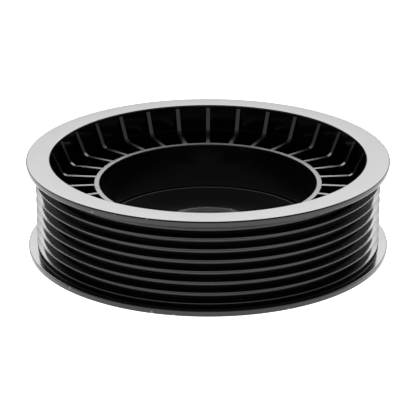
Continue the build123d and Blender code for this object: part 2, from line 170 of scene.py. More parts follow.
class Graph:
    """The node tree of a material or of the world."""

    def __init__(self, owner: bpy.types.Material | bpy.types.World) -> None:
        """Empty the owner's node tree.

        Args:
            owner: The material or world that the tree belongs to.
        """
        owner.use_nodes = True
        self.tree = owner.node_tree
        self.tree.nodes.clear()

    def node(
        self,
        kind: str,
        settings: dict | None = None,
        inputs: dict | None = None,
        output: int | str = 0,
    ) -> Signal:
        """Add a node.

        Args:
            kind: The node's type.
            settings: Its own properties, set first.
            inputs: Values or signals, by socket name or number.
            output: The output wanted.

        Returns:
            The wanted output.
        """
        node = self.tree.nodes.new(kind)
        for name, value in (settings or {}).items():
            setattr(node, name, value)
        for name, value in (inputs or {}).items():
            if isinstance(value, Signal):
                self.tree.links.new(value.socket, node.inputs[name])
            else:
                node.inputs[name].default_value = value
        return Signal(self, node.outputs[output])

    def parts(self, vector: Signal) -> tuple[Signal, Signal, Signal]:
        """Split a vector into its three values."""
        split = self.node("ShaderNodeSeparateXYZ", None, {"Vector": vector}).socket.node
        return Signal(self, split.outputs[0]), Signal(self, split.outputs[1]), Signal(self, split.outputs[2])

    def vector(self, operation: str, first: Value, second: Value | None = None, **others: float) -> Signal:
        """Add a Vector Math node.

        Args:
            operation: The node's operation.
            first: Its first vector.
            second: Its second vector, if it takes one.
            others: Its other sockets.

        Returns:
            The resulting vector.
        """
        inputs = {0: first, **others}
        if second is not None:
            inputs[1] = second
        return self.node("ShaderNodeVectorMath", {"operation": operation}, inputs)

    def joined(self, x: Value, y: Value, z: Value) -> Signal:
        """Make a vector of three values."""
        return self.node("ShaderNodeCombineXYZ", None, {"X": x, "Y": y, "Z": z})

    def blend(self, factor: Value, first: Value, second: Value) -> Signal:
        """Mix two colours.

        Args:
            factor: The second colour's share.
            first: The colour at 0.
            second: The colour at 1.

        Returns:
            The mixed colour.
        """
        colours = [value if isinstance(value, Signal) else (*value, 1.0) for value in (first, second)]
        return self.node(
            "ShaderNodeMix", {"data_type": "RGBA"}, {0: factor, 6: colours[0], 7: colours[1]}, 2
        )

    def close(self, kind: str, shader: Signal) -> None:
        """Lead a shader to an output node of the given type."""
        output = self.tree.nodes.new(kind)
        self.tree.links.new(shader.socket, output.inputs["Surface"])


class Coat(Graph):
    """A material's graph, with Object coordinates in millimetres."""

    def __init__(self, title: str) -> None:
        """Make an empty material.

        Args:
            title: The material's name.
        """
        self.material = bpy.data.materials.new(title)
        super().__init__(self.material)
        coordinates = self.node("ShaderNodeTexCoord", output="Object")
        self.place = self.vector("SCALE", coordinates, Scale=1 / MM)
        self.x, self.y, self.z = self.parts(self.place)
        self.radius = (self.x * self.x + self.y * self.y).math("SQRT")

    def noise(self, size: float, detail: float = 2.0, at: Signal | None = None) -> Signal:
        """Cloudy noise from 0 to 1.

        Args:
            size: The size of its features, in mm.
            detail: How many finer octaves it holds.
            at: Where it is read, if not at the surface's own place.

        Returns:
            The noise.
        """
        return self.node(
            "ShaderNodeTexNoise", None, {"Vector": at or self.place, "Scale": 1 / size, "Detail": detail}
        )

    def cells(self, size: float, output: str = "Distance") -> Signal:
        """Distance to, or another output of, scattered points."""
        return self.node("ShaderNodeTexVoronoi", None, {"Vector": self.place, "Scale": 1 / size}, output)

    def bump(self, height: Signal) -> Signal:
        """Turn a height in mm into a normal."""
        return self.node("ShaderNodeBump", None, {"Height": height, "Distance": MM, "Strength": 1.0})

    def surface(self, inputs: dict) -> bpy.types.Material:
        """Close the graph with its shader.

        Args:
            inputs: The shader's sockets and their values.

        Returns:
            The finished material.
        """
        self.close("ShaderNodeOutputMaterial", self.node("ShaderNodeBsdfPrincipled", None, inputs))
        return self.material


# ---------------------------------------------------------------- finishes
class Pattern(NamedTuple):
    """How a finish differs over the surface."""

    tint: Signal
    gloss: Signal
    height: Signal


@dataclass(frozen=True)
class Finish:
    """A finish: two colours that it wanders between, its roughness and its metal share.

    Roughness runs from the first to the second value as the pattern's gloss signal rises.
    """

    colour: Colour
    worn: Colour
    roughness: tuple[float, float]
    metallic: float = 0.0
    ior: float = 1.5

    def pattern(self, graph: Coat) -> Pattern:
        """Say how this finish differs over the surface."""
        raise NotImplementedError

    def material(self, title: str) -> bpy.types.Material:
        """Make the material.

        Args:
            title: Its name.

        Returns:
            The node material.
        """
        graph = Coat(title)
        pattern = self.pattern(graph)
        low, high = self.roughness
        return graph.surface(
            {
                "Base Color": graph.blend(pattern.tint, self.colour, self.worn),
                "Roughness": low + pattern.gloss * (high - low),
                "Metallic": self.metallic,
                "IOR": self.ior,
                "Normal": graph.bump(pattern.height),
            }
        )


@dataclass(frozen=True)
class MouldedResin(Finish):
    """Glossy moulded resin: slow flow marks, a little dust, and scuffs where parts touch it."""

    edge_radius: float = 59.3
    edge_width: float = 0.35
    flow_size: float = 9.0
    flow_height: float = 0.0016
    peel_size: float = 0.9
    peel_height: float = 0.00028
    dust_size: float = 1.7
    scuff_size: float = 2.6
    hairline_pitch: float = 0.16
    land_height: float = 31.6
    land_reach: float = 0.3

    def pattern(self, graph: Coat) -> Pattern:
        """Flow marks and peel as relief, dust and scuffs as tint and roughness."""
        flow = graph.noise(self.flow_size, 1.0)
        peel = graph.noise(self.peel_size, 2.0)
        around = graph.joined(graph.radius / self.hairline_pitch, graph.z / self.hairline_pitch, flow * 3.0)
        hairline = graph.noise(1.0, 0.0, around).step(0.72, 0.8) * graph.noise(7.0).step(0.5, 0.7)
        dust = graph.cells(self.dust_size).step(0.07, 0.03) * graph.noise(14.0, 0.0).step(0.5, 0.62)
        edge = graph.radius.step(self.edge_radius - self.edge_width, self.edge_radius - self.edge_width / 3)
        scuff = edge * graph.noise(self.scuff_size, 4.0).step(0.66, 0.74)
        low, high = self.land_height - self.land_reach, self.land_height + self.land_reach
        land = graph.z.step(low - self.land_reach, low) * graph.z.step(high + self.land_reach, high)
        tint = dust * 0.08 + scuff * 0.5 + hairline * 0.03 + (flow - 0.4).math("MAXIMUM", 0.0) * 0.005
        gloss = flow * 0.3 + dust * 0.6 + scuff * 0.7 + hairline * 0.25 + land * 0.55
        height = flow * self.flow_height + peel * self.peel_height - scuff * 0.01
        return Pattern(tint, gloss, height)


@dataclass(frozen=True)
class CoatedSteel(Finish):
    """Electro-coated pressed steel: orange peel, settled dust, small chips and a painted highlight along the
    rim.
    """

    peel_size: float = 0.7
    peel_height: float = 0.0035
    chip_size: float = 5.0
    # Radius and height beyond which a light ring is painted into the colour as a highlight on the rim's
    # edge.
    highlight_radius: float = 34.2
    highlight_height: float = 16.0

    def pattern(self, graph: Coat) -> Pattern:
        """Orange peel as relief, chips and dust as tint and roughness, and a painted highlight on the rim as
        tint.
        """
        peel = graph.noise(self.peel_size, 2.0)
        cloud = graph.noise(12.0, 3.0)
        chip = graph.noise(self.chip_size, 6.0).step(0.69, 0.72)
        dust = graph.cells(1.3).step(0.1, 0.04) * cloud.step(0.45, 0.6)
        # Painted highlight: a thin light ring at the rim's outer top edge, standing in for light caught by
        # the rounded edge.
        rub_and_painted_highlight = graph.radius.step(self.highlight_radius - 0.2, self.highlight_radius) * graph.z.step(
            self.highlight_height - 0.2, self.highlight_height
        )
        # The last term paints that highlight into the colour.
        tint = chip * 0.2 + dust * 0.12 + cloud * 0.025 + rub_and_painted_highlight * 0.9
        gloss = cloud * 0.6 + dust * 0.4
        return Pattern(tint, gloss, peel * self.peel_height - chip * 0.02)


@dataclass(frozen=True)
class TurnedSteel(Finish):
    """Bright steel with the fine rings that a lathe tool leaves, and light handling marks."""

    feed: float = 0.12
    ring_height: float = 0.0012

    def pattern(self, graph: Coat) -> Pattern:
        """Tool rings as relief, stains and handling marks as tint and roughness."""
        drift = graph.noise(3.0, 2.0)
        across = graph.radius + graph.z * 0.93 + drift * 0.05
        rings = across.wave(self.feed) * 0.5 + across.wave(self.feed * 3.7) * 0.3
        uneven = graph.noise(1.0, 2.0, graph.joined(graph.radius * 9.0, graph.z * 9.0, drift))
        stain = graph.noise(6.0, 4.0).step(0.52, 0.7)
        return Pattern(stain * 0.5 + uneven * 0.3, uneven * 0.6 + stain * 0.4, rings * self.ring_height)


@dataclass(frozen=True)
class SheetSteel(Finish):
    """Plated, blued or plain sheet and pressed steel: fine rolling streaks and soft cloudiness."""

    streak: float = 0.25
    streak_height: float = 0.0015
    cloud_size: float = 5.0
    wear_size: float = 3.0

    def pattern(self, graph: Coat) -> Pattern:
        """Streaks as relief, cloudiness and rub marks as tint and roughness."""
        long = graph.vector("MULTIPLY", graph.place, Vector((1 / self.streak, 0.04, 1 / self.streak)))
        streaks = graph.noise(1.0, 2.0, long)
        cloud = graph.noise(self.cloud_size, 3.0)
        spangle = graph.cells(self.wear_size, "Distance")
        rub_and_painted_highlight = graph.noise(self.wear_size, 5.0).step(0.6, 0.7)
        tint = cloud.step(0.35, 0.65) * 0.5 + rub_and_painted_highlight * 0.3 + spangle * 0.15
        gloss = streaks * 0.5 + cloud * 0.3 + spangle * 0.2
        return Pattern(tint, gloss, streaks * self.streak_height + spangle * self.streak_height)


@dataclass(frozen=True)
class CastCompound(Finish):
    """Cast or pressed compound, or nylon and rubber where the grain is fine: grain and pores."""

    grain_size: float = 0.3
    grain_height: float = 0.01
    pore_size: float = 1.1
    pore_depth: float = 0.03

    def pattern(self, graph: Coat) -> Pattern:
        """Grain and pores as relief, grain and a slow cloud as tint and roughness."""
        grain = graph.noise(self.grain_size, 3.0)
        cloud = graph.noise(7.0, 2.0)
        pore = graph.cells(self.pore_size).step(0.16, 0.06) * cloud.step(0.4, 0.6)
        tint = grain.step(0.35, 0.7) * 0.5 + cloud * 0.4
        return Pattern(tint, grain * 0.6 + cloud * 0.4, grain * self.grain_height - pore * self.pore_depth)


@dataclass(frozen=True)
class WoundWire(Finish):
    """Enamelled wire wound in layers."""

    wire: float = 0.6

    def pattern(self, graph: Coat) -> Pattern:
        """Turns of wire as relief and tint, uneven enamel as roughness."""
        turns = graph.z.wave(self.wire) + graph.radius.wave(self.wire)
        enamel = graph.noise(2.0, 2.0)
        return Pattern(turns * 0.2 + enamel * 0.4, enamel, turns * (self.wire / 8))


FINISHES: dict[Slot, Finish] = {
    Slot.MOULDED_RESIN: MouldedResin((0.0016, 0.0017, 0.0017), (0.4, 0.41, 0.42), (0.1, 0.45), ior=1.52),
    # Coated steel's second colour serves the chips and dust, and also the painted highlight on the rim's
    # edge.
    Slot.COATED_STEEL: CoatedSteel((0.002, 0.002, 0.0022), (0.16, 0.16, 0.155), (0.13, 0.24)),
    Slot.FRICTION_COMPOUND: CastCompound((0.05, 0.042, 0.036), (0.13, 0.11, 0.09), (0.75, 0.95)),
    Slot.MACHINED_STEEL: TurnedSteel((0.2, 0.2, 0.2), (0.12, 0.115, 0.11), (0.16, 0.3), 1.0),
    Slot.PLATED_STEEL: SheetSteel((0.56, 0.56, 0.55), (0.44, 0.43, 0.4), (0.3, 0.55), 1.0),
    Slot.RIVET_STEEL: TurnedSteel((0.6, 0.6, 0.6), (0.42, 0.41, 0.4), (0.22, 0.42), 1.0, feed=0.3),
    Slot.SPRING_STEEL: SheetSteel((0.2, 0.2, 0.23), (0.32, 0.28, 0.22), (0.25, 0.45), 1.0),
    Slot.BEARING_STEEL: TurnedSteel((0.62, 0.62, 0.63), (0.5, 0.5, 0.5), (0.1, 0.24), 1.0, feed=0.05),
    Slot.CAGE_NYLON: CastCompound((0.42, 0.38, 0.28), (0.5, 0.46, 0.36), (0.4, 0.6), grain_height=0.002),
    Slot.SEAL_RUBBER: CastCompound((0.015, 0.015, 0.016), (0.04, 0.04, 0.04), (0.55, 0.75), pore_depth=0.0),
    Slot.COPPER_WIRE: WoundWire((0.36, 0.11, 0.035), (0.5, 0.19, 0.07), (0.2, 0.4), 0.85),
    Slot.POTTING_RESIN: CastCompound((0.02, 0.018, 0.016), (0.06, 0.055, 0.05), (0.35, 0.6)),
    Slot.TERMINAL_PLASTIC: CastCompound(
        (0.012, 0.012, 0.013), (0.03, 0.03, 0.03), (0.4, 0.58), grain_height=0.004, pore_depth=0.0
    ),
    Slot.TINNED_BRASS: SheetSteel((0.62, 0.58, 0.48), (0.55, 0.45, 0.25), (0.25, 0.45), 1.0),
}


class Finisher:
    """Makes each slot's material once and puts it on pieces and on kept nodes."""

    def __init__(self) -> None:
        """Start with no material made."""
        self.made: dict[Slot, bpy.types.Material] = {}

    def material(self, slot: Slot) -> bpy.types.Material:
        """Give a slot's material, making it on first use."""
        if slot not in self.made:
            self.made[slot] = FINISHES[slot].material(slot.value)
        return self.made[slot]

    def dress_node(self, node: str, slot: Slot) -> None:
        """Put a slot's material on a node that keeps its own mesh.

        Args:
            node: The node's name.
            slot: Its material slot.
        """
        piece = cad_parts[node]
        for holder in piece.material_slots:
            holder.material = self.material(slot)
        log.info("kept %s in %s", node, slot.value)


# ---------------------------------------------------------------- mesh tools
class Corner(NamedTuple):
    """A corner of an outline in the half plane r >= 0; ease is how far its rounding reaches."""

    r: float
    z: float
    ease: float = 0.0


class Extent(NamedTuple):
    """How far a turned node reaches from the axis, and between which heights, in mm."""

    radius: float
    low: float
    high: float


def extent(node: str) -> Extent:
    """Read a turned node's extent from the frame."""
    low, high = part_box(node)
    return Extent(high.x / MM, low.z / MM, high.z / MM)


def measured(node: str) -> Extent:
    """Declare a field that holds a turned node's extent."""
    return field(default_factory=lambda: extent(node))


def outline(corners: Sequence[Corner], segments: int = 4) -> Mesh:
    """Draw a closed outline of edges in the XZ plane, with its corners rounded.

    Args:
        corners: The outline's corners in order.
        segments: How many edges make a rounding.

    Returns:
        A mesh of vertices and edges.
    """
    mesh = bmesh.new()
    dots = [mesh.verts.new((corner.r, 0, corner.z)) for corner in corners]
    for first, second in zip(dots, dots[1:] + dots[:1]):
        mesh.edges.new((first, second))
    for dot, corner in zip(dots, corners):
        if corner.ease:
            bmesh.ops.bevel(
                mesh, geom=[dot], offset=corner.ease, offset_type="OFFSET", segments=segments,
                profile=0.5, affect="VERTICES", material=-1,
            )
    return mesh


def turned(corners: Sequence[Corner], steps: int = FULL_STEPS, segments: int = 4) -> Mesh:
    """Turn a rounded outline once round Z.

    Args:
        corners: The outline's corners in order.
        steps: How many steps make the turn.
        segments: How many edges make a rounding.

    Returns:
        A closed ring or solid.
    """
    mesh = outline(corners, segments)
    bmesh.ops.spin(
        mesh, geom=mesh.verts[:] + mesh.edges[:], cent=(0, 0, 0), axis=(0, 0, 1), dvec=(0, 0, 0),
        angle=TURN, steps=steps, use_merge=True, use_duplicate=False,
    )
    return settled(mesh)


def settled(mesh: Mesh) -> Mesh:
    """Merge a mesh's doubles, drop what that flattened, and point its faces outwards."""
    bmesh.ops.remove_doubles(mesh, verts=mesh.verts, dist=MERGE)
    bmesh.ops.dissolve_degenerate(mesh, dist=MERGE, edges=mesh.edges)
    bmesh.ops.recalc_face_normals(mesh, faces=mesh.faces)
    return mesh


def moved(mesh: Mesh, x: float = 0.0, y: float = 0.0, z: float = 0.0, turn: float = 0.0) -> Mesh:
    """Move a mesh, then turn it round Z.

    Args:
        mesh: The mesh.
        x, y, z: How far it moves, in mm.
        turn: How far it turns afterwards, in degrees.

    Returns:
        The same mesh.
    """
    place = Matrix.Rotation(math.radians(turn), 4, "Z") @ Matrix.Translation((x, y, z))
    bmesh.ops.transform(mesh, matrix=place, verts=mesh.verts)
    return mesh


def repeated(mesh: Mesh, count: int) -> Mesh:
    """Repeat a mesh evenly round Z."""
    bmesh.ops.spin(
        mesh, geom=mesh.verts[:] + mesh.edges[:] + mesh.faces[:], cent=(0, 0, 0), axis=(0, 0, 1),
        dvec=(0, 0, 0), angle=TURN * (count - 1) / count, steps=count - 1, use_duplicate=True,
    )
    bmesh.ops.recalc_face_normals(mesh, faces=mesh.faces)
    return mesh


def block(
    width: float, depth: float, low: float, high: float, upright: float = 0.0, segments: int = 6
) -> Mesh:
    """Make a block centred on Z, with its upright edges rounded.

    Args:
        width: Its size along X.
        depth: Its size along Y.
        low: The height of its underside.
        high: The height of its top.
        upright: The rounding of its upright edges.
        segments: How many faces make a rounding.

    Returns:
        The block.
    """
    mesh = bmesh.new()
    bmesh.ops.create_cube(mesh, size=1.0)
    bmesh.ops.scale(mesh, vec=(width, depth, high - low), verts=mesh.verts)
    bmesh.ops.translate(mesh, vec=(0, 0, (low + high) / 2), verts=mesh.verts)
    if upright:
        uprights = [edge for edge in mesh.edges if abs(edge.verts[0].co.z - edge.verts[1].co.z) > MERGE]
        bevel(mesh, uprights, upright, segments)
    return mesh


def bevel(mesh: Mesh, edges: Iterable[bmesh.types.BMEdge], width: float, segments: int = 2) -> None:
    """Round some edges of a mesh."""
    bmesh.ops.bevel(
        mesh, geom=list(edges), offset=width, offset_type="OFFSET", segments=segments, profile=0.5,
        affect="EDGES", material=-1, clamp_overlap=True,
    )


def sharp_edges(mesh: Mesh, degrees: float = 40.0) -> list[bmesh.types.BMEdge]:
    """Find the edges where two faces meet at more than an angle in degrees."""
    limit = math.radians(degrees)
    return [edge for edge in mesh.edges if len(edge.link_faces) == 2 and edge.calc_face_angle() > limit]


def rod(radius: float, low: float, high: float, steps: int) -> Mesh:
    """Make a plain rod on the axis, as a cutter."""
    mesh = bmesh.new()
    bmesh.ops.create_cone(
        mesh, cap_ends=True, segments=steps, radius1=radius, radius2=radius, depth=high - low
    )
    bmesh.ops.translate(mesh, vec=(0, 0, (low + high) / 2), verts=mesh.verts)
    return mesh


def arc_block(radius: float, width: float, low: float, high: float, middle: float, sweep: float) -> Mesh:
    """Make a curved block with round ends, as a cutter for a curved slot.

    Args:
        radius: The radius of its middle line.
        width: Its width across that line.
        low: The height of its underside.
        high: The height of its top.
        middle: The angle of its middle, in degrees.
        sweep: The angle between the centres of its ends, in degrees.

    Returns:
        The block.
    """
    reach = math.degrees(width / 2 / radius)
    mesh = outline(
        [
            Corner(radius - width / 2, low),
            Corner(radius + width / 2, low),
            Corner(radius + width / 2, high),
            Corner(radius - width / 2, high),
        ]
    )
    face = bmesh.ops.contextual_create(mesh, geom=mesh.edges[:])["faces"][0]
    bmesh.ops.rotate(
        mesh, verts=mesh.verts, cent=(0, 0, 0),
        matrix=Matrix.Rotation(math.radians(middle - sweep / 2 - reach), 3, "Z"),
    )
    bmesh.ops.spin(
        mesh, geom=[face, *face.edges, *face.verts], cent=(0, 0, 0), axis=(0, 0, 1), dvec=(0, 0, 0),
        angle=math.radians(sweep + 2 * reach), steps=max(2, round(sweep / 4)), use_duplicate=False,
    )
    settled(mesh)
    ends = [
        edge for edge in sharp_edges(mesh)
        if abs(edge.verts[0].co.z - edge.verts[1].co.z) > MERGE
    ]
    bevel(mesh, ends, width * 0.49, 6)
    return mesh


def carved(blank: Mesh, cutters: Sequence[Mesh], ease: float = 0.0) -> Mesh:
    """Cut a blank with closed cutters and break its new edges.

    Args:
        blank: The mesh to cut, which is used up.
        cutters: Closed meshes to take away, which are used up.
        ease: How far the sharp edges are rounded afterwards.

    Returns:
        The carved mesh.
    """
    target = loose_object(blank, "blank")
    tools = [loose_object(cutter, "cutter") for cutter in cutters]
    for tool in tools:
        modifier = target.modifiers.new("cut", "BOOLEAN")
        modifier.operation = "DIFFERENCE"
        modifier.solver = "EXACT"
        modifier.object = tool
    depsgraph = bpy.context.evaluated_depsgraph_get()
    mesh = bmesh.new()
    mesh.from_object(target, depsgraph)
    for spent in [target, *tools]:
        bpy.data.meshes.remove(spent.data)
    settled(mesh)
    if ease:
        bevel(mesh, sharp_edges(mesh), ease)
    return settled(mesh)


def loose_object(mesh: Mesh, name: str) -> bpy.types.Object:
    """Put a mesh in the scene for a moment."""
    data = bpy.data.meshes.new(name)
    mesh.to_mesh(data)
    mesh.free()
    piece = bpy.data.objects.new(name, data)
    bpy.context.scene.collection.objects.link(piece)
    return piece


def merged(meshes: Sequence[Mesh]) -> Mesh:
    """Gather several meshes into one."""
    whole = bmesh.new()
    for mesh in meshes:
        data = bpy.data.meshes.new("part")
        mesh.to_mesh(data)
        mesh.free()
        whole.from_mesh(data)
        bpy.data.meshes.remove(data)
    return whole


@dataclass
class Workshop:
    """Turns finished meshes into pieces of the clutch."""

    finisher: Finisher = field(default_factory=Finisher)
    crease: float = 38.0

    def piece(self, mesh: Mesh, name: str, slot: Slot, body: Body, nodes: Sequence[str]) -> bpy.types.Object:
        """Make a piece of a mesh, give it its finish and let it ride.

        Args:
            mesh: The mesh in mm, which is used up.
            name: The piece's name.
            slot: Its material slot.
            body: The body it moves with.
            nodes: The nodes it stands for.

        Returns:
            The piece.
        """
        for edge in mesh.edges:
            edge.smooth = True
        for edge in sharp_edges(mesh, self.crease):
            edge.smooth = False
        for face in mesh.faces:
            face.smooth = True
        bmesh.ops.scale(mesh, vec=(MM, MM, MM), verts=mesh.verts)
        piece = loose_object(mesh, name)
        normals = piece.modifiers.new("even_normals", "WEIGHTED_NORMAL")
        normals.keep_sharp = True
        piece.data.materials.append(self.finisher.material(slot))
        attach(piece, body.value)
        if nodes:
            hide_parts(*nodes)
        log.info("made %s: %d faces", name, len(piece.data.polygons))
        return piece

    def keep(self, slot: Slot, *nodes: str) -> None:
        """Keep nodes with their own meshes, in a slot's finish."""
        for node in nodes:
            self.finisher.dress_node(node, slot)


# ---------------------------------------------------------------- pulley
@dataclass
class PulleyMoulding:
    """The moulded resin pulley: belt rim, web, ribs and sleeve."""

    shop: Workshop
    rim: Extent = measured("pulley_body")
    shell: Extent = measured("field_shell")
    rotor: Extent = measured("rotor")
    flange_height: float = 2.9
    flange_edge: float = 2.0
    flange_draft: float = 0.15
    flange_foot: float = 0.6
    end_relief: float = 1.0
    grooves: int = 7
    groove_pitch: float = 3.56
    groove_angle: float = 40.0
    groove_depth: float = 3.0
    crest_flat: float = 0.4
    crest_ease: float = 0.12
    rim_wall: float = 1.9
    clearance: float = 0.5
    sleeve_wall: float = 1.8
    sleeve_drop: float = 9.0
    pole_wall: float = 3.0
    pole_jacket: float = 2.4
    web: float = 3.0
    web_recess: float = 1.5
    key_thickness: float = 1.2
    ribs: int = 30
    rib_thickness: float = 1.4
    rib_start_drop: float = 1.0
    rib_slope_run: float = 3.6
    rib_bend: float = 1.3
    rib_below_sleeve: float = 0.04
    rib_edge: float = 0.12

    @property
    def crest_r(self) -> float:
        """Radius of the crests between grooves."""
        return self.rim.radius - self.flange_height

    @property
    def bore_r(self) -> float:
        """Radius inside the rim."""
        return self.crest_r - self.groove_depth - self.rim_wall

    @property
    def sleeve_r(self) -> float:
        """Radius inside the sleeve."""
        return self.shell.radius + self.clearance

    def belt_side(self) -> list[Corner]:
        """Draw the outside of the rim, from the lower flange to the upper one."""
        margin = (self.rim.high - self.rim.low - self.grooves * self.groove_pitch) / 2
        mouth = (self.groove_pitch - self.crest_flat) / 2
        root = mouth - self.groove_depth * math.tan(math.radians(self.groove_angle / 2))
        root_r = self.crest_r - self.groove_depth
        relief_r = self.crest_r - self.end_relief
        first_crest = self.rim.low + margin - self.crest_flat / 2
        last_crest = self.rim.high - margin + self.crest_flat / 2
        corners = [
            Corner(self.rim.radius, self.rim.low, 0.5),
            Corner(self.rim.radius, self.rim.low + self.flange_edge, 0.35),
            Corner(relief_r, self.rim.low + self.flange_edge + self.flange_draft, 0.2),
            Corner(self.crest_r, first_crest, self.crest_ease),
        ]
        for index in range(self.grooves):
            middle = self.rim.low + margin + (index + 0.5) * self.groove_pitch
            corners += [
                Corner(self.crest_r, middle - mouth, self.crest_ease),
                Corner(root_r, middle - root, 0.28),
                Corner(root_r, middle + root, 0.28),
                Corner(self.crest_r, middle + mouth, self.crest_ease),
            ]
        return corners + [
            Corner(self.crest_r, last_crest, self.crest_ease),
            Corner(relief_r, self.rim.high - self.flange_edge - self.flange_draft, 0.2),
            Corner(self.rim.radius, self.rim.high - self.flange_edge, self.flange_foot),
            Corner(self.rim.radius, self.rim.high, 0.5),
        ]

    def inside(self) -> list[Corner]:
        """Draw the rest of the section: top face, rim bore, web, sleeve and the rotor's seat."""
        pole_end = self.rotor.high
        pole_r = self.sleeve_r + self.pole_wall
        sleeve_out_r = self.sleeve_r + self.sleeve_wall
        jacket_r = pole_r + self.pole_jacket
        web_low = self.rim.low + self.web_recess
        web_high = web_low + self.web
        key_low = web_low + (self.web - self.key_thickness) / 2
        key_high = key_low + self.key_thickness
        sleeve_rim = self.rim.high - self.sleeve_drop
        return [
            Corner(self.bore_r, self.rim.high, 0.45),
            Corner(self.bore_r, web_high, 0.6),
            Corner(jacket_r, web_high, 0.6),
            Corner(jacket_r, pole_end + self.web, 0.5),
            Corner(sleeve_out_r, pole_end + self.web, 0.4),
            Corner(sleeve_out_r, sleeve_rim, 0.3),
            Corner(self.sleeve_r, sleeve_rim, 0.3),
            Corner(self.sleeve_r, pole_end),
            Corner(pole_r, pole_end),
            Corner(pole_r, key_high),
            Corner(self.rotor.radius, key_high),
            Corner(self.rotor.radius, key_low),
            Corner(pole_r, key_low),
            Corner(pole_r, self.rim.low, 0.15),
            Corner(jacket_r, self.rim.low, 0.4),
            Corner(jacket_r, web_low, 0.5),
            Corner(self.bore_r, web_low, 0.5),
            Corner(self.bore_r, self.rim.low, 0.35),
        ]

    def rib_set(self) -> Mesh:
        """Make the ribs: a steep drop from the rim, a rounded bend, and a level run to the sleeve."""
        level = self.rim.high - self.sleeve_drop - self.rib_below_sleeve
        start = self.rim.high - self.rib_start_drop
        foot = self.rim.low + self.web_recess + self.web / 2
        bury = self.rib_thickness / 2
        mesh = outline(
            [
                Corner(self.sleeve_r + self.sleeve_wall / 2, foot),
                Corner(self.sleeve_r + self.sleeve_wall / 2, level),
                Corner(self.bore_r - self.rib_slope_run, level, self.rib_bend),
                Corner(self.bore_r, start),
                Corner(self.bore_r + bury, start),
                Corner(self.bore_r + bury, foot),
            ],
            segments=5,
        )
        face = bmesh.ops.contextual_create(mesh, geom=mesh.edges[:])["faces"][0]
        swept = bmesh.ops.extrude_face_region(mesh, geom=[face])["geom"]
        far = [item for item in swept if isinstance(item, bmesh.types.BMVert)]
        bmesh.ops.translate(mesh, vec=(0, self.rib_thickness, 0), verts=far)
        bmesh.ops.translate(mesh, vec=(0, -self.rib_thickness / 2, 0), verts=mesh.verts)
        bmesh.ops.recalc_face_normals(mesh, faces=mesh.faces)
        top = [
            edge for edge in mesh.edges
            if min(dot.co.z for dot in edge.verts) > level - MERGE
            and abs(edge.verts[0].co.y - edge.verts[1].co.y) < MERGE
        ]
        bevel(mesh, top, self.rib_edge, 3)
        moved(mesh, turn=FIRST_ANGLE)
        return repeated(mesh, self.ribs)

    def build(self) -> None:
        """Turn the body, add the ribs and let the piece stand for the moulding."""
        body = turned(self.belt_side() + self.inside())
        whole = merged([body, self.rib_set()])
        self.shop.piece(whole, "pulley_moulding", Slot.MOULDED_RESIN, Body.PULLEY, ["pulley_body"])


# ---------------------------------------------------------------- rotor
@dataclass
class Rotor:
    """The steel rotor that the pulley is moulded round, with the friction ring in its face."""

    shop: Workshop
    whole: Extent = measured("rotor")
    bearing: Extent = measured("bearing_outer_ring")
    shell: Extent = measured("field_shell")
    lining: Extent = measured("friction_lining")
    rim: Extent = measured("pulley_body")
    disc: float = 2.5
    hub_pole_wall: float = 2.6
    pole_wall: float = 3.0
    bearing_lip: float = 1.0
    clearance: float = 0.5
    key_rise: float = 2.4
    key_thickness: float = 1.2
    shell_wall: float = 2.0
    slot_width: float = 1.6
    slot_bridge: float = 5.0
    inner_slots: int = 3
    outer_slots: int = 6
    lining_margin: float = 0.6

    @property
    def slots_from_r(self) -> float:
        """Radius where the inner ring of slots starts."""
        return self.bearing.radius + self.hub_pole_wall + self.clearance + self.shell_wall

    def slots(self) -> list[Mesh]:
        """Make the cutters of the two rings of slots in the disc."""
        half = self.slot_width / 2
        inner = (self.slots_from_r + half, self.inner_slots, FIRST_ANGLE)
        outer_r = self.shell.radius - self.shell_wall - half
        outer = (outer_r, self.outer_slots, FIRST_ANGLE - 180 / self.outer_slots)
        low, high = self.whole.low - OVERCUT, self.whole.low + self.disc + OVERCUT
        cutters = []
        for middle_r, count, start in (inner, outer):
            sweep = 360 / count - math.degrees((self.slot_bridge + self.slot_width) / middle_r)
            cutters += [
                arc_block(middle_r, self.slot_width, low, high, start + index * 360 / count, sweep)
                for index in range(count)
            ]
        return cutters

    def build(self) -> None:
        """Turn the rotor, cut its slots and dress the friction ring."""
        base = self.whole.low
        back = base + self.disc
        inside = self.bearing.radius
        pole_r = inside + self.hub_pole_wall
        outer_in = self.shell.radius + self.clearance
        outer_out = outer_in + self.pole_wall
        key_low = self.rim.low + self.key_rise
        lining_in = self.slots_from_r + self.slot_width + self.lining_margin
        blank = turned(
            [
                Corner(inside - self.bearing_lip, base, 0.2),
                Corner(lining_in, base),
                Corner(lining_in, self.lining.high),
                Corner(self.lining.radius, self.lining.high),
                Corner(self.lining.radius, base),
                Corner(outer_out, base, 0.25),
                Corner(outer_out, key_low),
                Corner(self.whole.radius, key_low),
                Corner(self.whole.radius, key_low + self.key_thickness),
                Corner(outer_out, key_low + self.key_thickness),
                Corner(outer_out, self.whole.high),
                Corner(outer_in, self.whole.high, 0.3),
                Corner(outer_in, back, 0.3),
                Corner(pole_r, back, 0.3),
                Corner(pole_r, self.bearing.high, 0.3),
                Corner(inside, self.bearing.high, 0.3),
                Corner(inside, self.bearing.low),
                Corner(inside - self.bearing_lip, self.bearing.low),
            ]
        )
        steel = carved(blank, self.slots())
        self.shop.piece(steel, "rotor_steel", Slot.COATED_STEEL, Body.PULLEY, ["rotor"])
        self.shop.keep(Slot.FRICTION_COMPOUND, "friction_lining")


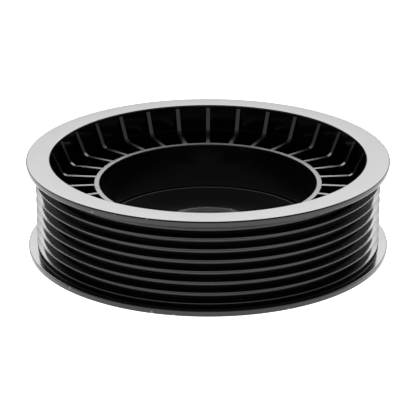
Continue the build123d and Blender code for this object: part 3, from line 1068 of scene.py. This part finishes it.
@dataclass
class Bearing:
    """The ball bearing between pulley and sleeve, sealed on both sides."""

    shop: Workshop

    def build(self) -> None:
        """Dress the bearing's pieces, which lie hidden between rotor and sleeve."""
        self.shop.keep(Slot.BEARING_STEEL, "bearing_inner_ring", "bearing_outer_ring", "bearing_balls")
        self.shop.keep(Slot.CAGE_NYLON, "bearing_cage")
        self.shop.keep(Slot.SEAL_RUBBER, "bearing_seal_front", "bearing_seal_rear")
        self.shop.keep(Slot.SPRING_STEEL, "bearing_snap_ring")


# ---------------------------------------------------------------- fixed field
@dataclass
class CarrierSleeve:
    """The steel sleeve that sits on the compressor's nose and carries the bearing."""

    shop: Workshop
    whole: Extent = measured("carrier_sleeve")
    bearing: Extent = measured("bearing_inner_ring")
    snap: Extent = measured("bearing_snap_ring")
    hub: Extent = measured("hub")
    bearing_bore_r: float = 15.0
    nose_bore_r: float = 13.5
    nose_chamfer: float = 0.8
    stop_r: float = 11.5
    stop: float = 1.2
    front_bore_r: float = 12.5
    air_gap: float = 0.5
    snap_groove: float = 0.6

    def build(self) -> None:
        """Turn the sleeve."""
        stop_low = self.hub.high + self.air_gap
        groove_r = self.bearing_bore_r - self.snap_groove
        steel = turned(
            [
                Corner(self.front_bore_r, self.whole.low, 0.2),
                Corner(self.bearing_bore_r, self.whole.low, 0.3),
                Corner(self.bearing_bore_r, self.snap.low),
                Corner(groove_r, self.snap.low),
                Corner(groove_r, self.snap.high),
                Corner(self.bearing_bore_r, self.snap.high),
                Corner(self.bearing_bore_r, self.bearing.high),
                Corner(self.whole.radius, self.bearing.high),
                Corner(self.whole.radius, self.whole.high, 0.15),
                Corner(self.nose_bore_r + self.nose_chamfer, self.whole.high, 0.08),
                Corner(self.nose_bore_r, self.whole.high - self.nose_chamfer, 0.12),
                Corner(self.nose_bore_r, stop_low + self.stop, 0.15),
                Corner(self.stop_r, stop_low + self.stop, 0.15),
                Corner(self.stop_r, stop_low, 0.15),
                Corner(self.front_bore_r, stop_low),
            ],
            steps=FULL_STEPS // 2,
            segments=3,
        )
        self.shop.piece(steel, "nose_sleeve", Slot.MACHINED_STEEL, Body.FIELD, ["carrier_sleeve"])


@dataclass
class FieldCoil:
    """The coil in its steel shell, whose back plate is the floor of the pulley's cup."""

    shop: Workshop
    shell: Extent = measured("field_shell")
    sleeve: Extent = measured("carrier_sleeve")
    bearing: Extent = measured("bearing_outer_ring")
    plate: float = 2.0
    wall: float = 2.0
    clearance: float = 0.5
    hub_pole_wall: float = 2.6
    press_round: float = 0.25

    def build(self) -> None:
        """Turn the shell and dress the coil inside it."""
        inside = self.bearing.radius + self.hub_pole_wall + self.clearance
        underside = self.shell.high - self.plate
        shell = turned(
            [
                Corner(self.sleeve.radius, underside),
                Corner(inside, underside, 0.3),
                Corner(inside, self.shell.low, 0.2),
                Corner(inside + self.wall, self.shell.low, 0.2),
                Corner(inside + self.wall, underside),
                Corner(self.shell.radius - self.wall, underside),
                Corner(self.shell.radius - self.wall, self.shell.low, 0.2),
                Corner(self.shell.radius, self.shell.low, 0.2),
                Corner(self.shell.radius, self.shell.high, self.press_round),
                Corner(self.sleeve.radius, self.shell.high, 0.12),
            ]
        )
        self.shop.piece(shell, "field_shell_pressing", Slot.COATED_STEEL, Body.FIELD, ["field_shell"])
        self.shop.keep(Slot.CAGE_NYLON, "coil_bobbin")
        self.shop.keep(Slot.COPPER_WIRE, "coil_winding")
        self.shop.keep(Slot.POTTING_RESIN, "coil_potting")


@dataclass
class Terminal:
    """The coil's two-way terminal on the field plate."""

    shop: Workshop
    floor: Extent = measured("field_shell")
    wall: float = 1.2
    blade_width: float = 2.8
    blade_thickness: float = 0.8
    blade_spacing: float = 4.6
    latch_drop: float = 2.0
    latch_height: float = 1.4
    edge: float = 0.2

    def build(self) -> None:
        """Make the housing with its pocket and foot, and the two blades."""
        low, high = (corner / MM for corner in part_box("terminal_housing"))
        middle = (low.y + high.y) / 2
        width, depth = high.x - low.x, high.y - low.y
        shell = block(width, depth, self.floor.high, high.z, self.wall)
        lid = max(shell.faces, key=lambda face: face.calc_center_median().z)
        bmesh.ops.inset_region(shell, faces=[lid], thickness=self.wall, use_even_offset=True)
        bmesh.ops.translate(
            shell, vec=(0, 0, self.floor.high + self.wall - high.z), verts=lid.verts[:]
        )
        bmesh.ops.recalc_face_normals(shell, faces=shell.faces)
        mouth = [edge for edge in sharp_edges(shell) if edge.verts[0].co.z > high.z - MERGE]
        bevel(shell, mouth, self.edge)
        foot = block(
            width - 2 * self.wall, depth - 2 * self.wall, low.z, self.floor.high + self.wall / 2, 0.3
        )
        latch_top = high.z - self.latch_drop
        latch = block(width / 3, self.wall / 2, latch_top - self.latch_height, latch_top)
        bevel(latch, sharp_edges(latch), self.edge)
        moved(latch, y=depth / 2 - self.wall / 2)
        housing = merged([shell, foot, latch])
        moved(housing, y=middle)
        self.shop.piece(
            housing, "terminal_socket", Slot.TERMINAL_PLASTIC, Body.FIELD, ["terminal_housing"]
        )
        blade_low, blade_high = (corner.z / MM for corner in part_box("terminal_blades"))
        blades = []
        for side in (-1, 1):
            blade = block(self.blade_width, self.blade_thickness, blade_low, blade_high)
            tip = [edge for edge in blade.edges if min(dot.co.z for dot in edge.verts) > blade_high - MERGE]
            bevel(blade, tip, self.blade_thickness * 0.3, 1)
            blades.append(moved(blade, x=side * self.blade_spacing / 2, y=middle))
        self.shop.piece(
            merged(blades), "terminal_blade_pair", Slot.TINNED_BRASS, Body.FIELD, ["terminal_blades"]
        )


@dataclass
class LocatingPin:
    """The shouldered pin that stops the field turning on the compressor."""

    shop: Workshop
    floor: Extent = measured("field_shell")
    shank_r: float = 1.5
    tip: float = 0.5

    def build(self) -> None:
        """Turn the pin and set it in the plate."""
        low, high = (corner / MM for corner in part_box("locating_pin"))
        radius = (high.x - low.x) / 2
        pin = turned(
            [
                Corner(0, low.z),
                Corner(self.shank_r, low.z),
                Corner(self.shank_r, self.floor.high),
                Corner(radius, self.floor.high, 0.12),
                Corner(radius, high.z - self.tip, 0.15),
                Corner(radius - self.tip, high.z, 0.15),
                Corner(0, high.z),
            ],
            SMALL_STEPS,
            3,
        )
        moved(pin, x=(low.x + high.x) / 2, y=(low.y + high.y) / 2)
        self.shop.piece(pin, "locating_dowel", Slot.MACHINED_STEEL, Body.FIELD, ["locating_pin"])


# ---------------------------------------------------------------- armature, springs and hub
@dataclass
class RivetPattern:
    """Where the two sets of three rivets stand, and their sizes."""

    leaf: Extent = measured("leaf_spring_3")
    plate: Extent = measured("armature_plate")
    inner_r: float = 23.6
    head_r: float = 3.1
    shank_r: float = 1.75
    count: int = 3

    @property
    def pitch_r(self) -> float:
        """Radius of the rivets' circle."""
        return (self.inner_r + self.plate.radius) / 2

    def angles(self, halfway: bool) -> list[float]:
        """Angles of the hub's rivets, or of the armature's, halfway between them."""
        return [FIRST_ANGLE + 360 / self.count * (index + 0.5 * halfway) for index in range(self.count)]


@dataclass
class Armature:
    """The sprung armature plate and its three rivets."""

    shop: Workshop
    rivets: RivetPattern = field(default_factory=RivetPattern)
    plate: Extent = measured("armature_plate")
    shell: Extent = measured("field_shell")
    head_clearance: float = 0.9
    barrier_width: float = 1.4
    barrier_sweep: float = 24.0
    barriers: int = 6
    head: float = 1.3
    seat_gap: float = 0.02

    @property
    def face(self) -> float:
        """Height of the friction face, a hair short of touching the rotor when pulled in."""
        return self.plate.high - self.seat_gap

    def cutters(self) -> list[Mesh]:
        """Make the cutters of the clearance holes and the magnetic barrier slots."""
        low, high = self.plate.low - OVERCUT, self.plate.high + OVERCUT
        hole_r = self.rivets.head_r + self.head_clearance
        holes = [
            moved(rod(hole_r, low, high, SMALL_STEPS), x=self.rivets.pitch_r, turn=angle)
            for angle in self.rivets.angles(False)
        ]
        barrier_r = (self.rivets.inner_r + self.shell.radius + 0.5) / 2
        return holes + [
            arc_block(
                barrier_r, self.barrier_width, low, high,
                FIRST_ANGLE + (index + 0.5) * 360 / self.barriers, self.barrier_sweep,
            )
            for index in range(self.barriers)
        ]

    def build(self) -> None:
        """Turn and carve the plate, and set its rivets."""
        blank = turned(
            [
                Corner(self.rivets.inner_r, self.plate.low, 0.25),
                Corner(self.plate.radius, self.plate.low, 0.4),
                Corner(self.plate.radius, self.face, 0.25),
                Corner(self.rivets.inner_r, self.face, 0.25),
            ]
        )
        plate = carved(blank, self.cutters())
        self.shop.piece(plate, "armature_disc", Slot.PLATED_STEEL, Body.ARMATURE, ["armature_plate"])
        leaf = self.rivets.leaf
        sink = self.rivets.head_r - self.rivets.shank_r
        rivet = turned(
            [
                Corner(0, leaf.low - self.head),
                Corner(self.rivets.head_r * 0.55, leaf.low - self.head, 0.5),
                Corner(self.rivets.head_r, leaf.low - self.head * 0.45, 0.5),
                Corner(self.rivets.head_r, leaf.low, 0.1),
                Corner(self.rivets.shank_r, leaf.low),
                Corner(self.rivets.shank_r, self.face - sink),
                Corner(self.rivets.head_r, self.face),
                Corner(0, self.face),
            ],
            SMALL_STEPS,
            4,
        )
        moved(rivet, x=self.rivets.pitch_r, turn=FIRST_ANGLE + 180 / self.rivets.count)
        self.shop.piece(
            repeated(rivet, self.rivets.count), "armature_rivet_set", Slot.RIVET_STEEL,
            Body.ARMATURE, ["armature_rivets"],
        )


@dataclass
class LeafSprings:
    """The three leaves between the hub's rivets and the armature's."""

    shop: Workshop
    rivets: RivetPattern = field(default_factory=RivetPattern)
    width: float = 9.0
    edge: float = 0.12

    def build(self) -> None:
        """Make each leaf as a strip with round ends and two rivet holes."""
        quarter = math.radians(90 / self.rivets.count)
        length = 2 * self.rivets.pitch_r * math.sin(quarter)
        middle_r = self.rivets.pitch_r * math.cos(quarter)
        leaf = self.rivets.leaf
        for index in range(self.rivets.count):
            strip = block(
                self.width, length + self.width, leaf.low, leaf.high, self.width / 2 * NEARLY_ALL, ROUND_END
            )
            low, high = leaf.low - OVERCUT, leaf.high + OVERCUT
            holes = [
                moved(rod(self.rivets.shank_r, low, high, SMALL_STEPS), y=side * length / 2)
                for side in (-1, 1)
            ]
            spring = carved(strip, holes, self.edge)
            angle = FIRST_ANGLE + 360 / self.rivets.count * (index + 0.25)
            moved(spring, x=middle_r, turn=angle)
            self.shop.piece(
                spring, f"leaf_{index + 1}", Slot.SPRING_STEEL, Body.HUB, [f"leaf_spring_{index + 1}"]
            )


@dataclass
class Hub:
    """The hub: a three-armed plate with a keyed boss, its rivets and its shim."""

    shop: Workshop
    rivets: RivetPattern = field(default_factory=RivetPattern)
    whole: Extent = measured("hub")
    plate_low: float = 0.8
    plate: float = 2.0
    plate_edge: float = 1.9
    window_margin: float = 1.6
    shaft_r: float = 6.0
    boss_wall: float = 3.2
    shim: float = 0.5
    bolt_hole_r: float = 3.3
    keyway_width: float = 3.0
    keyway_depth: float = 1.2
    rear_head: float = 1.3

    def cutters(self) -> list[Mesh]:
        """Make the cutters of the windows round the armature's rivets and of the keyway."""
        plate_r = self.rivets.pitch_r + self.rivets.head_r + self.plate_edge
        window = self.rivets.head_r + self.window_margin
        cutters = []
        for angle in self.rivets.angles(True):
            slot = block(
                plate_r + 2 * window, 2 * window, self.plate_low - OVERCUT,
                self.plate_low + self.plate + OVERCUT, window * NEARLY_ALL, ROUND_END,
            )
            cutters.append(moved(slot, x=self.rivets.pitch_r + plate_r / 2, turn=angle))
        key_low = self.plate_low + self.plate + self.shim
        key = block(self.keyway_width, 2 * self.keyway_depth, key_low, self.whole.high + OVERCUT)
        cutters.append(moved(key, y=self.shaft_r))
        return cutters

    def build(self) -> None:
        """Turn and carve the hub, set its rivets and dress the shim."""
        top = self.plate_low + self.plate
        plate_r = self.rivets.pitch_r + self.rivets.head_r + self.plate_edge
        boss_r = self.shaft_r + self.boss_wall
        pocket_r = self.shaft_r - self.keyway_depth / 2
        blank = turned(
            [
                Corner(self.bolt_hole_r, self.plate_low, 0.35),
                Corner(plate_r, self.plate_low, 0.45),
                Corner(plate_r, top, 0.3),
                Corner(boss_r, top, 0.5),
                Corner(boss_r, self.whole.high, 0.5),
                Corner(self.shaft_r, self.whole.high, 0.35),
                Corner(self.shaft_r, top + self.shim),
                Corner(pocket_r, top + self.shim),
                Corner(pocket_r, top),
                Corner(self.bolt_hole_r, top),
            ]
        )
        hub = carved(blank, self.cutters())
        self.shop.piece(hub, "hub_forging", Slot.PLATED_STEEL, Body.HUB, ["hub"])
        rear = self.rivets.plate.low + self.rear_head
        rivet = turned(
            [
                Corner(0, 0),
                Corner(self.rivets.head_r * 0.5, 0, 0.5),
                Corner(self.rivets.head_r, self.plate_low * 0.6, 0.35),
                Corner(self.rivets.head_r, self.plate_low, 0.05),
                Corner(self.rivets.shank_r, self.plate_low),
                Corner(self.rivets.shank_r, self.rivets.plate.low),
                Corner(self.rivets.head_r, self.rivets.plate.low, 0.1),
                Corner(self.rivets.head_r, rear - 0.5, 0.3),
                Corner(self.rivets.head_r * 0.6, rear, 0.4),
                Corner(0, rear),
            ],
            SMALL_STEPS,
            4,
        )
        moved(rivet, x=self.rivets.pitch_r, turn=FIRST_ANGLE)
        self.shop.piece(
            repeated(rivet, self.rivets.count), "hub_rivet_set", Slot.RIVET_STEEL, Body.HUB, ["hub_rivets"]
        )
        self.shop.keep(Slot.PLATED_STEEL, "hub_shim")


# ---------------------------------------------------------------- studio
@dataclass
class Studio:
    """A pale floor, soft light and the camera."""

    floor_half: float = 6.0
    floor_colour: Colour = (0.6, 0.6, 0.6)
    floor_glow: float = 1.4
    sky: float = 0.3
    band: float = 0.7
    back_band: float = 7.2
    band_rise: tuple[float, float] = (0.15, 0.5)
    band_fall: tuple[float, float] = (0.85, 0.55)
    back_spread: tuple[float, float] = (0.2, 0.85)
    camera_place: Colour = (0.0, -0.5705, 0.2452)
    camera_pitch: float = 21.378
    lens: float = 160.6
    sensor: float = 36.0

    def floor(self) -> None:
        """Lay the floor under the clutch."""
        mesh = bmesh.new()
        bmesh.ops.create_grid(mesh, x_segments=1, y_segments=1, size=self.floor_half)
        ground = loose_object(mesh, "floor")
        graph = Coat("floor_paper")
        tone = graph.noise(400.0, 1.0)
        darker = tuple(0.97 * part for part in self.floor_colour)
        ground.data.materials.append(
            graph.surface(
                {
                    "Base Color": graph.blend(tone, self.floor_colour, darker),
                    "Roughness": 0.9,
                    "Emission Color": (1.0, 1.0, 1.0, 1.0),
                    "Emission Strength": self.floor_glow,
                }
            )
        )

    def world(self) -> None:
        """Light everything from a soft band of light round the horizon, brightest at the back."""
        world = bpy.data.worlds.new("studio_sky")
        graph = Graph(world)
        direction = graph.node("ShaderNodeTexCoord", output="Generated")
        _, back, up = graph.parts(direction)
        band = up.step(*self.band_rise) * up.step(*self.band_fall)
        strength = self.sky + band * (self.band + back.step(*self.back_spread) * self.back_band)
        sky = graph.node("ShaderNodeBackground", None, {"Strength": strength})
        graph.close("ShaderNodeOutputWorld", sky)
        bpy.context.scene.world = world

    def camera(self) -> None:
        """Set up the camera."""
        camera = bpy.data.cameras.new("studio_camera")
        camera.lens = self.lens
        camera.sensor_width = self.sensor
        camera.clip_start = 0.01
        holder = bpy.data.objects.new("studio_camera", camera)
        holder.location = self.camera_place
        holder.rotation_euler = (math.radians(90 - self.camera_pitch), 0, 0)
        bpy.context.scene.collection.objects.link(holder)
        bpy.context.scene.camera = holder

    def build(self) -> None:
        """Set up the whole studio."""
        self.floor()
        self.world()
        self.camera()
        bpy.context.scene.view_settings.view_transform = "Standard"


def main() -> None:
    """Build the studio and every sub-assembly in order."""
    logging.basicConfig(level=logging.INFO, format="%(name)s: %(message)s")
    Studio().build()
    shop = Workshop()
    stages: list[Callable[[], None]] = [
        PulleyMoulding(shop).build,
        Rotor(shop).build,
        Bearing(shop).build,
        CarrierSleeve(shop).build,
        FieldCoil(shop).build,
        Terminal(shop).build,
        LocatingPin(shop).build,
        Armature(shop).build,
        LeafSprings(shop).build,
        Hub(shop).build,
    ]
    for build in stages:
        build()


if __name__ == "__main__":
    main()
